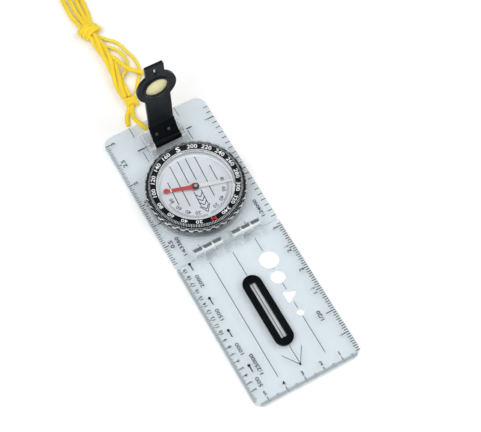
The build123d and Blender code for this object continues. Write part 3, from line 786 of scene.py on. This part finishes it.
def coil_tie():
    """The dark band wound round one side of the coil."""
    angle = math.radians(TIE_ANGLE)
    out = Vector((math.cos(angle), math.sin(angle), 0))
    along = Vector((-out.y, out.x, 0))
    middle = Vector((*COIL_CENTRE, TIE_MIDDLE_Z)) + COIL_MIDDLE_R * out
    points = []
    for i in range(TIE_TURNS * 32 + 1):
        t = i / 32
        a = 2 * math.pi * t
        wide = math.copysign(abs(math.cos(a)) ** 0.75, math.cos(a)) * TIE_HALF_WIDE
        tall = math.copysign(abs(math.sin(a)) ** 0.75, math.sin(a)) * TIE_HALF_TALL
        lean = (t - TIE_TURNS / 2) * 1.05 + 0.25 * math.sin(a)
        points.append(middle + out * wide + along * lean + Vector((0, 0, tall)))
    piece = braided("coil_tie", [even(points, 0.3)], 0.5, TIE, 12)
    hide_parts("lanyard_coil_tie")
    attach(piece, "base")
    return piece


tie = coil_tie()

bundle_line = even(route_line("bundle", BUNDLE_ROUTE), STEP)
bundle = braided(
    "cord_bundle",
    [twisted(bundle_line, 1.82, 60.0, math.radians(45 + 90 * k), 0.18) for k in range(4)],
    CORD_D / 2,
    YELLOW,
)
on_cord(bundle, "lanyard_bundle")

cord_piece(
    "cord_neck",
    NECK_OUT_ROUTE + coil_points() + NECK_BACK_ROUTE,
    ["lanyard_neck_out", "lanyard_neck_coil", "lanyard_neck_back"],
)
cord_piece("cord_side", SIDE_ROUTE, ["lanyard_side"])
cord_piece(
    "cord_second_side", SECOND_SIDE_ROUTE, ["lanyard_second_side"]
)
cord_piece(
    "cord_loop_a", LOOP_A_ROUTE, ["lanyard_loop_a"],
    YELLOW_THIN, radius=LOOP_A_R,
)
cord_piece(
    "cord_loop_b", LOOP_B_ROUTE, ["lanyard_loop_b"],
    YELLOW_THIN, radius=LOOP_B_R,
)
cord_piece("cord_strand", STRAND_ROUTE, ["lanyard_strand"])
cord_piece("cord_anchor", ANCHOR_ROUTE, ["lanyard_anchor", "lanyard_tail"])

# ---------------------------------------------------------------------------------------------- prints
PLATE_TOP = 2.5
INK_DEPTH, INK_PROUD = 0.02, 0.03
HALF_WIDTH = 28.5
FOOT_Y = 112.4
DIAL_TURN = -3.2
NEEDLE_TURN = -18.0
BLADE_TOP = 8.5
CARD_TOP = 6.6
CAPITAL_SHARE = 0.72        # height of a figure over the font's size


class Print:
    """Ink on one surface: bars, lines and figures as thin closed solids, placed through a mapping."""

    def __init__(self, name, material, body, slot):
        self.name, self.material, self.body, self.slot = name, material, body, slot
        self.proud = INK_PROUD
        self.mesh = bmesh.new()
        self.place = lambda x, y, lift: Vector((x, y, PLATE_TOP + lift))

    def solid(self, outline):
        low = [self.mesh.verts.new(self.place(x, y, -INK_DEPTH) * MM) for x, y in outline]
        top = [self.mesh.verts.new(self.place(x, y, self.proud) * MM) for x, y in outline]
        self.mesh.faces.new(top)
        self.mesh.faces.new(list(reversed(low)))
        for i in range(len(outline)):
            j = (i + 1) % len(outline)
            self.mesh.faces.new((low[i], low[j], top[j], top[i]))

    def line(self, a, b, width):
        run = Vector((b[0] - a[0], b[1] - a[1]))
        across = Vector((-run.y, run.x)).normalized() * width / 2
        self.solid([
            (a[0] - across.x, a[1] - across.y),
            (b[0] - across.x, b[1] - across.y),
            (b[0] + across.x, b[1] + across.y),
            (a[0] + across.x, a[1] + across.y),
        ])

    def dot(self, at, radius):
        sides = 12
        turns = [2 * math.pi * i / sides for i in range(sides)]
        self.solid([(at[0] + radius * math.cos(a), at[1] + radius * math.sin(a)) for a in turns])

    def text(self, words, at, height, turn, squeeze=0.9, bold=0.018):
        """Figures centred at a point; turn is the reading direction in degrees from +X."""
        font = bpy.data.curves.new("figures", "FONT")
        font.body = words
        font.align_x = "CENTER"
        font.align_y = "CENTER"
        font.resolution_u = 2
        font.offset = bold
        font.extrude = 0.5
        holder = bpy.data.objects.new("figures", font)
        mesh = bpy.data.meshes.new_from_object(holder)
        size = height / CAPITAL_SHARE
        c, s = math.cos(math.radians(turn)), math.sin(math.radians(turn))
        made = []
        for v in mesh.vertices:
            x, y = v.co.x * size * squeeze, v.co.y * size
            lift = self.proud if v.co.z > 0 else -INK_DEPTH
            place = self.place(at[0] + x * c - y * s, at[1] + x * s + y * c, lift)
            made.append(self.mesh.verts.new(place * MM))
        for face in mesh.polygons:
            self.mesh.faces.new([made[i] for i in face.vertices])
        bpy.data.objects.remove(holder)
        bpy.data.curves.remove(font)
        bpy.data.meshes.remove(mesh)

    def done(self):
        bmesh.ops.remove_doubles(self.mesh, verts=self.mesh.verts, dist=1e-7)
        bmesh.ops.dissolve_degenerate(self.mesh, edges=self.mesh.edges, dist=1e-7)
        bmesh.ops.recalc_face_normals(self.mesh, faces=self.mesh.faces)
        data = bpy.data.meshes.new(self.name)
        self.mesh.to_mesh(data)
        self.mesh.free()
        data.materials.append(self.material)
        piece = bpy.data.objects.new(self.name, data)
        bpy.context.scene.collection.objects.link(piece)
        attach(piece, self.body)


READ_SIDE = -90.0           # side scales read towards the head of the plate
READ_FOOT = 180.0
FINE_LINE, TICK, LONG_TICK = 0.28, 0.34, 0.42
INSET = 0.32                # bare plate between a scale's marks and the edge


def side_tick(ink, side, y, reach, width=TICK):
    ink.line((side * (HALF_WIDTH - INSET), y), (side * (HALF_WIDTH - reach), y), width)


def fraction(ink, at):
    """A small stacked half that reads along the side."""
    ink.text("1", (at[0] + 0.85, at[1]), 1.25, READ_SIDE)
    ink.line((at[0], at[1] - 0.6), (at[0], at[1] + 0.6), 0.2)
    ink.text("2", (at[0] - 0.85, at[1]), 1.25, READ_SIDE)


def upper_scales():
    ink = Print("print_upper", INK, "base", "black_plastic")
    for a, b in [
        ((12.8, -48.4), (12.8, -42.2)), ((12.8, -32.5), (12.8, -26.2)), ((12.8, 25.8), (12.8, 28.4)),
        ((-12.8, -48.4), (-12.8, -42.7)), ((-12.8, -33.1), (-12.8, -27.2)), ((-12.8, 25.8), (-12.8, 28.4)),
    ]:
        ink.line(a, b, FINE_LINE)
    ink.line((9.8, -34.3), (14.9, -34.3), 0.6)
    ink.line((-12.5, -33.9), (-15.6, -33.9), 0.6)
    mile_zero, mile = 32.2, 25.4
    for k in range(2, 61):
        reach = 3.0 if k % 10 == 0 else 2.3 if k % 2 == 0 else 1.8
        side_tick(ink, 1, mile_zero - k * mile / 20, reach, LONG_TICK if k % 10 == 0 else TICK)
    for k, words in enumerate(["0.5", "1", "1.5", "2", "2.5", "3"], start=1):
        ink.text(words, (24.0, mile_zero - k * mile / 2), 2.1, READ_SIDE, 1.25)
    ink.text("1:63360", (20.5, 22.9), 1.9, READ_SIDE, 1.36)
    zero, step = 33.2, 3.353
    for k in range(1, 23):
        reach = 3.3 if k % 10 == 0 else 2.7
        side_tick(ink, -1, zero - k * step, reach, 0.5 if k % 10 == 0 else LONG_TICK)
    ink.text("1", (-24.4, zero - 20 * step), 2.1, READ_SIDE)
    ink.text("1:24000", (-22.8, 23.0), 1.8, READ_SIDE, 1.34)
    ink.done()


def lower_scales():
    ink = Print("print_lower", INK, "front_half", "black_plastic")
    for a, b in [
        ((12.3, 36.8), (12.3, 103.2)),
        ((-13.0, 36.2), (-13.0, 44.0)), ((-13.0, 54.4), (-13.0, 55.2)), ((-13.0, 63.2), (-13.0, 67.0)),
        ((-13.0, 74.4), (-13.0, 78.0)), ((-13.0, 82.4), (-13.0, 103.6)),
        ((0.0, 37.6), (0.0, 51.8)), ((0.0, 92.4), (0.0, 103.0)),
        ((5.7, 95.0), (0.1, 103.1)), ((-5.1, 95.0), (0.1, 103.1)),
    ]:
        ink.line(a, b, FINE_LINE)
    ink.dot((0.1, 102.9), 0.55)
    metre_zero, hundred = FOOT_Y - 0.9, 4.0
    for quarter in range(3, 79):
        side_tick(ink, 1, metre_zero - quarter * hundred / 4, (2.5, 1.7, 2.0, 1.7)[quarter % 4])
    for number in range(2, 20):
        ink.text(str(number), (24.8, metre_zero - number * hundred), 1.8, READ_SIDE, 1.05)
    for words, tip, middle in [
        ("500", 91.9, 101.2), ("1000", 72.0, 82.8), ("1500", 53.3, 63.2), ("2000", 33.1, 43.2),
    ]:
        ink.dot((21.4, tip), 0.75)
        ink.line((21.4, tip), (21.3, tip + 3.8), 0.5)
        ink.text(words, (21.2, middle), 1.9, READ_SIDE, 1.36, 0.010)
    ink.text("1:25000", (18.0, 93.2), 1.9, READ_SIDE, 1.42)
    inch = 25.4
    for k in range(2, 62):
        reach = 3.2 if k % 10 == 0 else 2.6 if k % 2 == 0 else 2.1
        side_tick(ink, -1, FOOT_Y - k * inch / 20, reach, LONG_TICK)
    for whole, y in [("1", 87.0), ("1", 75.4), ("2", 61.6), ("2", 50.2), ("3", 36.3)]:
        ink.text(whole, (-24.5, y), 2.1, READ_SIDE, 1.1)
    for y in (99.7, 72.8, 47.6):
        fraction(ink, (-24.5, y))
    ink.text("1/20", (-20.4, 86.8), 2.0, READ_SIDE, 1.2)
    for k in range(3, 55):
        x = -HALF_WIDTH + k
        reach = 3.2 if k % 10 == 0 else 2.5 if k % 5 == 0 else 1.9
        ink.line((x, FOOT_Y - INSET), (x, FOOT_Y - reach), LONG_TICK if k % 5 == 0 else 0.30)
    for k in range(1, 6):
        ink.text(str(k), (-HALF_WIDTH + 10 * k, FOOT_Y - 5.1), 2.1, READ_FOOT, 1.1)
    ink.done()


def turned(x, y, z, degrees=DIAL_TURN):
    c, s = math.cos(math.radians(degrees)), math.sin(math.radians(degrees))
    return Vector((x * c - y * s, x * s + y * c, z))


def card_print():
    ink = Print("print_card", INK, "bezel", "black_plastic")
    ink.place = lambda x, y, lift: turned(x, y, CARD_TOP + lift)
    for a, b in [
        ((11.4, -8.7), (11.4, 4.9)), ((6.7, -16.4), (6.7, 7.8)), ((2.1, -17.2), (2.1, -3.9)),
        ((-2.1, -17.2), (-2.1, -3.9)), ((-6.7, -16.2), (-6.7, -0.6)), ((-6.4, 1.6), (-6.4, 7.9)),
        ((-11.5, -8.7), (-11.5, 0.6)),
        ((1.85, 1.6), (1.85, 10.4)), ((-1.85, 2.0), (-1.85, 10.4)),
        ((2.75, 10.3), (0.05, 14.4)), ((-2.65, 10.3), (0.05, 14.4)),
    ]:
        ink.line(a, b, 0.40)
    for y in (3.4, 5.8, 8.2, 10.6):
        ink.line((-1.85, y), (0.0, y + 2.1), 0.44)
        ink.line((1.85, y), (0.0, y + 2.1), 0.44)
    ink.done()
    soft = Print("print_declination", PALE_INK, "bezel", "black_plastic")
    soft.place = ink.place
    for side in (-1, 1):
        for number, bearing in ((20, 20.0), (40, 40.5), (60, 62.0), (80, 84.0)):
            a = math.radians(bearing * side)
            soft.text(str(number), (13.7 * math.sin(a), 13.7 * math.cos(a)), 1.9, -bearing * side, 1.1)
    for k in range(-40, 41):
        if abs(k) < 2:
            continue
        a = math.radians(2.0 * k)
        near = 15.3 if k % 5 else 14.9
        soft.line((near * math.sin(a), near * math.cos(a)), (16.4 * math.sin(a), 16.4 * math.cos(a)), 0.2)
    soft.done()


SLOPE_IN, SLOPE_OUT = 19.4, 21.85
TICK_IN, BAND_MIDDLE = 22.25, 20.72
SLOPE_LOW, CREST_HEIGHT, TICK_HEIGHT = 11.0, 11.55, 11.5
SLOPE_RISE, CREST_FALL, TICK_FALL = 0.2245, 0.12, 1.04
FIGURE_PROUD = 0.09         # flat figures stand this far off the curved ring, so that none sinks into it


def ring_height(radius):
    """Height of the degree ring's surface: its numbered slope, its crest, then the bevel with the ticks."""
    if radius < SLOPE_OUT:
        return SLOPE_LOW + (radius - SLOPE_IN) * SLOPE_RISE
    if radius < TICK_IN:
        return CREST_HEIGHT - (radius - SLOPE_OUT) * CREST_FALL
    return TICK_HEIGHT - (radius - TICK_IN) * TICK_FALL


def on_ring(bearing):
    """Places a figure's own x and y round the degree ring, upright at a bearing."""

    def place(x, y, lift):
        radius = BAND_MIDDLE + y
        angle = math.radians(90 + DIAL_TURN - bearing) - x / radius
        return Vector((radius * math.cos(angle), radius * math.sin(angle), ring_height(radius) + lift))

    return place


def ring_print():
    white = Print("print_degrees", WHITE_INK, "bezel", "needle_white")
    grey = Print("print_degree_marks", GREY_INK, "bezel", "needle_white")
    red = Print("print_north", RED_INK, "bezel", "needle_red")
    white.proud = red.proud = FIGURE_PROUD
    for bearing in range(0, 360, 20):
        ink = red if bearing == 0 else white
        ink.place = on_ring(bearing)
        words = {0: "N", 180: "S"}.get(bearing, str(bearing))
        if bearing % 180:
            ink.text(words, (0, 0.16), 1.95, 0, 1.3, 0.010)
        else:
            ink.text(words, (0, 0.05), 2.4, 0, 1.15 if words == "N" else 1.6, 0.022)
    mark_low = TICK_IN - BAND_MIDDLE
    for degree in range(0, 360, 2):
        grey.place = on_ring(degree)
        reach, width = (1.15, 0.36) if degree % 10 == 0 else (1.05, 0.26)
        grey.line((0, mark_low + 0.02), (0, mark_low + reach), width)
    white.done()
    grey.done()
    red.done()


def needle_patch():
    """The pale luminous patch across the red half, near its tip."""
    patch = Print("needle_patch", WHITE, "needle", "needle_white")
    patch.place = lambda x, y, lift: turned(x, y, BLADE_TOP + lift, NEEDLE_TURN)
    near, far, half_wide = 12.1, 12.7, 0.84
    patch.solid([(near, -half_wide), (far, -half_wide), (far, half_wide), (near, half_wide)])
    patch.done()


upper_scales()
lower_scales()
card_print()
ring_print()
needle_patch()

# ---------------------------------------------------------------------------------------------- studio


FLOOR_GAP = 0.3
WORLD_BACK, WORLD_FRONT = (-1.0, 0.09), (0.5, 0.56)     # direction along Y, and brightness there


def make_floor():
    mesh = bmesh.new()
    bmesh.ops.create_grid(mesh, x_segments=1, y_segments=1, size=3.0)
    data = bpy.data.meshes.new("floor")
    mesh.to_mesh(data)
    mesh.free()
    floor = bpy.data.objects.new("floor", data)
    floor.location = (0, 0, -FLOOR_GAP * MM)
    bpy.context.scene.collection.objects.link(floor)
    n = Nodes("floor")
    pale = n.ramp(n.noise(3, 2), [(0.3, (0.93, 0.93, 0.93)), (0.7, (0.95, 0.95, 0.95))])
    data.materials.append(n.done(n.principled(Base_Color=pale, Roughness=0.9)))


def area_light(name, at, target, size, power):
    data = bpy.data.lights.new(name, "AREA")
    data.shape = "SQUARE"
    data.size = size
    data.energy = power
    light = bpy.data.objects.new(name, data)
    light.location = at
    direction = Vector(target) - Vector(at)
    light.rotation_euler = direction.to_track_quat("-Z", "Y").to_euler()
    bpy.context.scene.collection.objects.link(light)


def make_world():
    """Soft white surroundings, dimmer behind the head of the plate."""
    world = bpy.data.worlds.new("studio")
    bpy.context.scene.world = world
    world.use_nodes = True
    tree = world.node_tree
    background = next(n for n in tree.nodes if n.type == "BACKGROUND")
    coordinates = tree.nodes.new("ShaderNodeTexCoord")
    split = tree.nodes.new("ShaderNodeSeparateXYZ")
    tree.links.new(coordinates.outputs["Generated"], split.inputs[0])
    slide = tree.nodes.new("ShaderNodeMapRange")
    limits = (WORLD_BACK[0], WORLD_FRONT[0], WORLD_BACK[1], WORLD_FRONT[1])
    for socket, value in zip(slide.inputs[1:5], limits):
        socket.default_value = value
    tree.links.new(split.outputs["Y"], slide.inputs[0])
    tree.links.new(slide.outputs[0], background.inputs["Strength"])
    background.inputs["Color"].default_value = rgb(1, 1, 1)


make_floor()
make_world()
area_light("key", (0.45, 0.12, 1.15), (0, 0, 0), 0.9, 9.8)
area_light("fill", (-0.6, 0.25, 1.0), (0, 0, 0), 0.8, 4.45)
bpy.context.scene.view_settings.view_transform = "Standard"
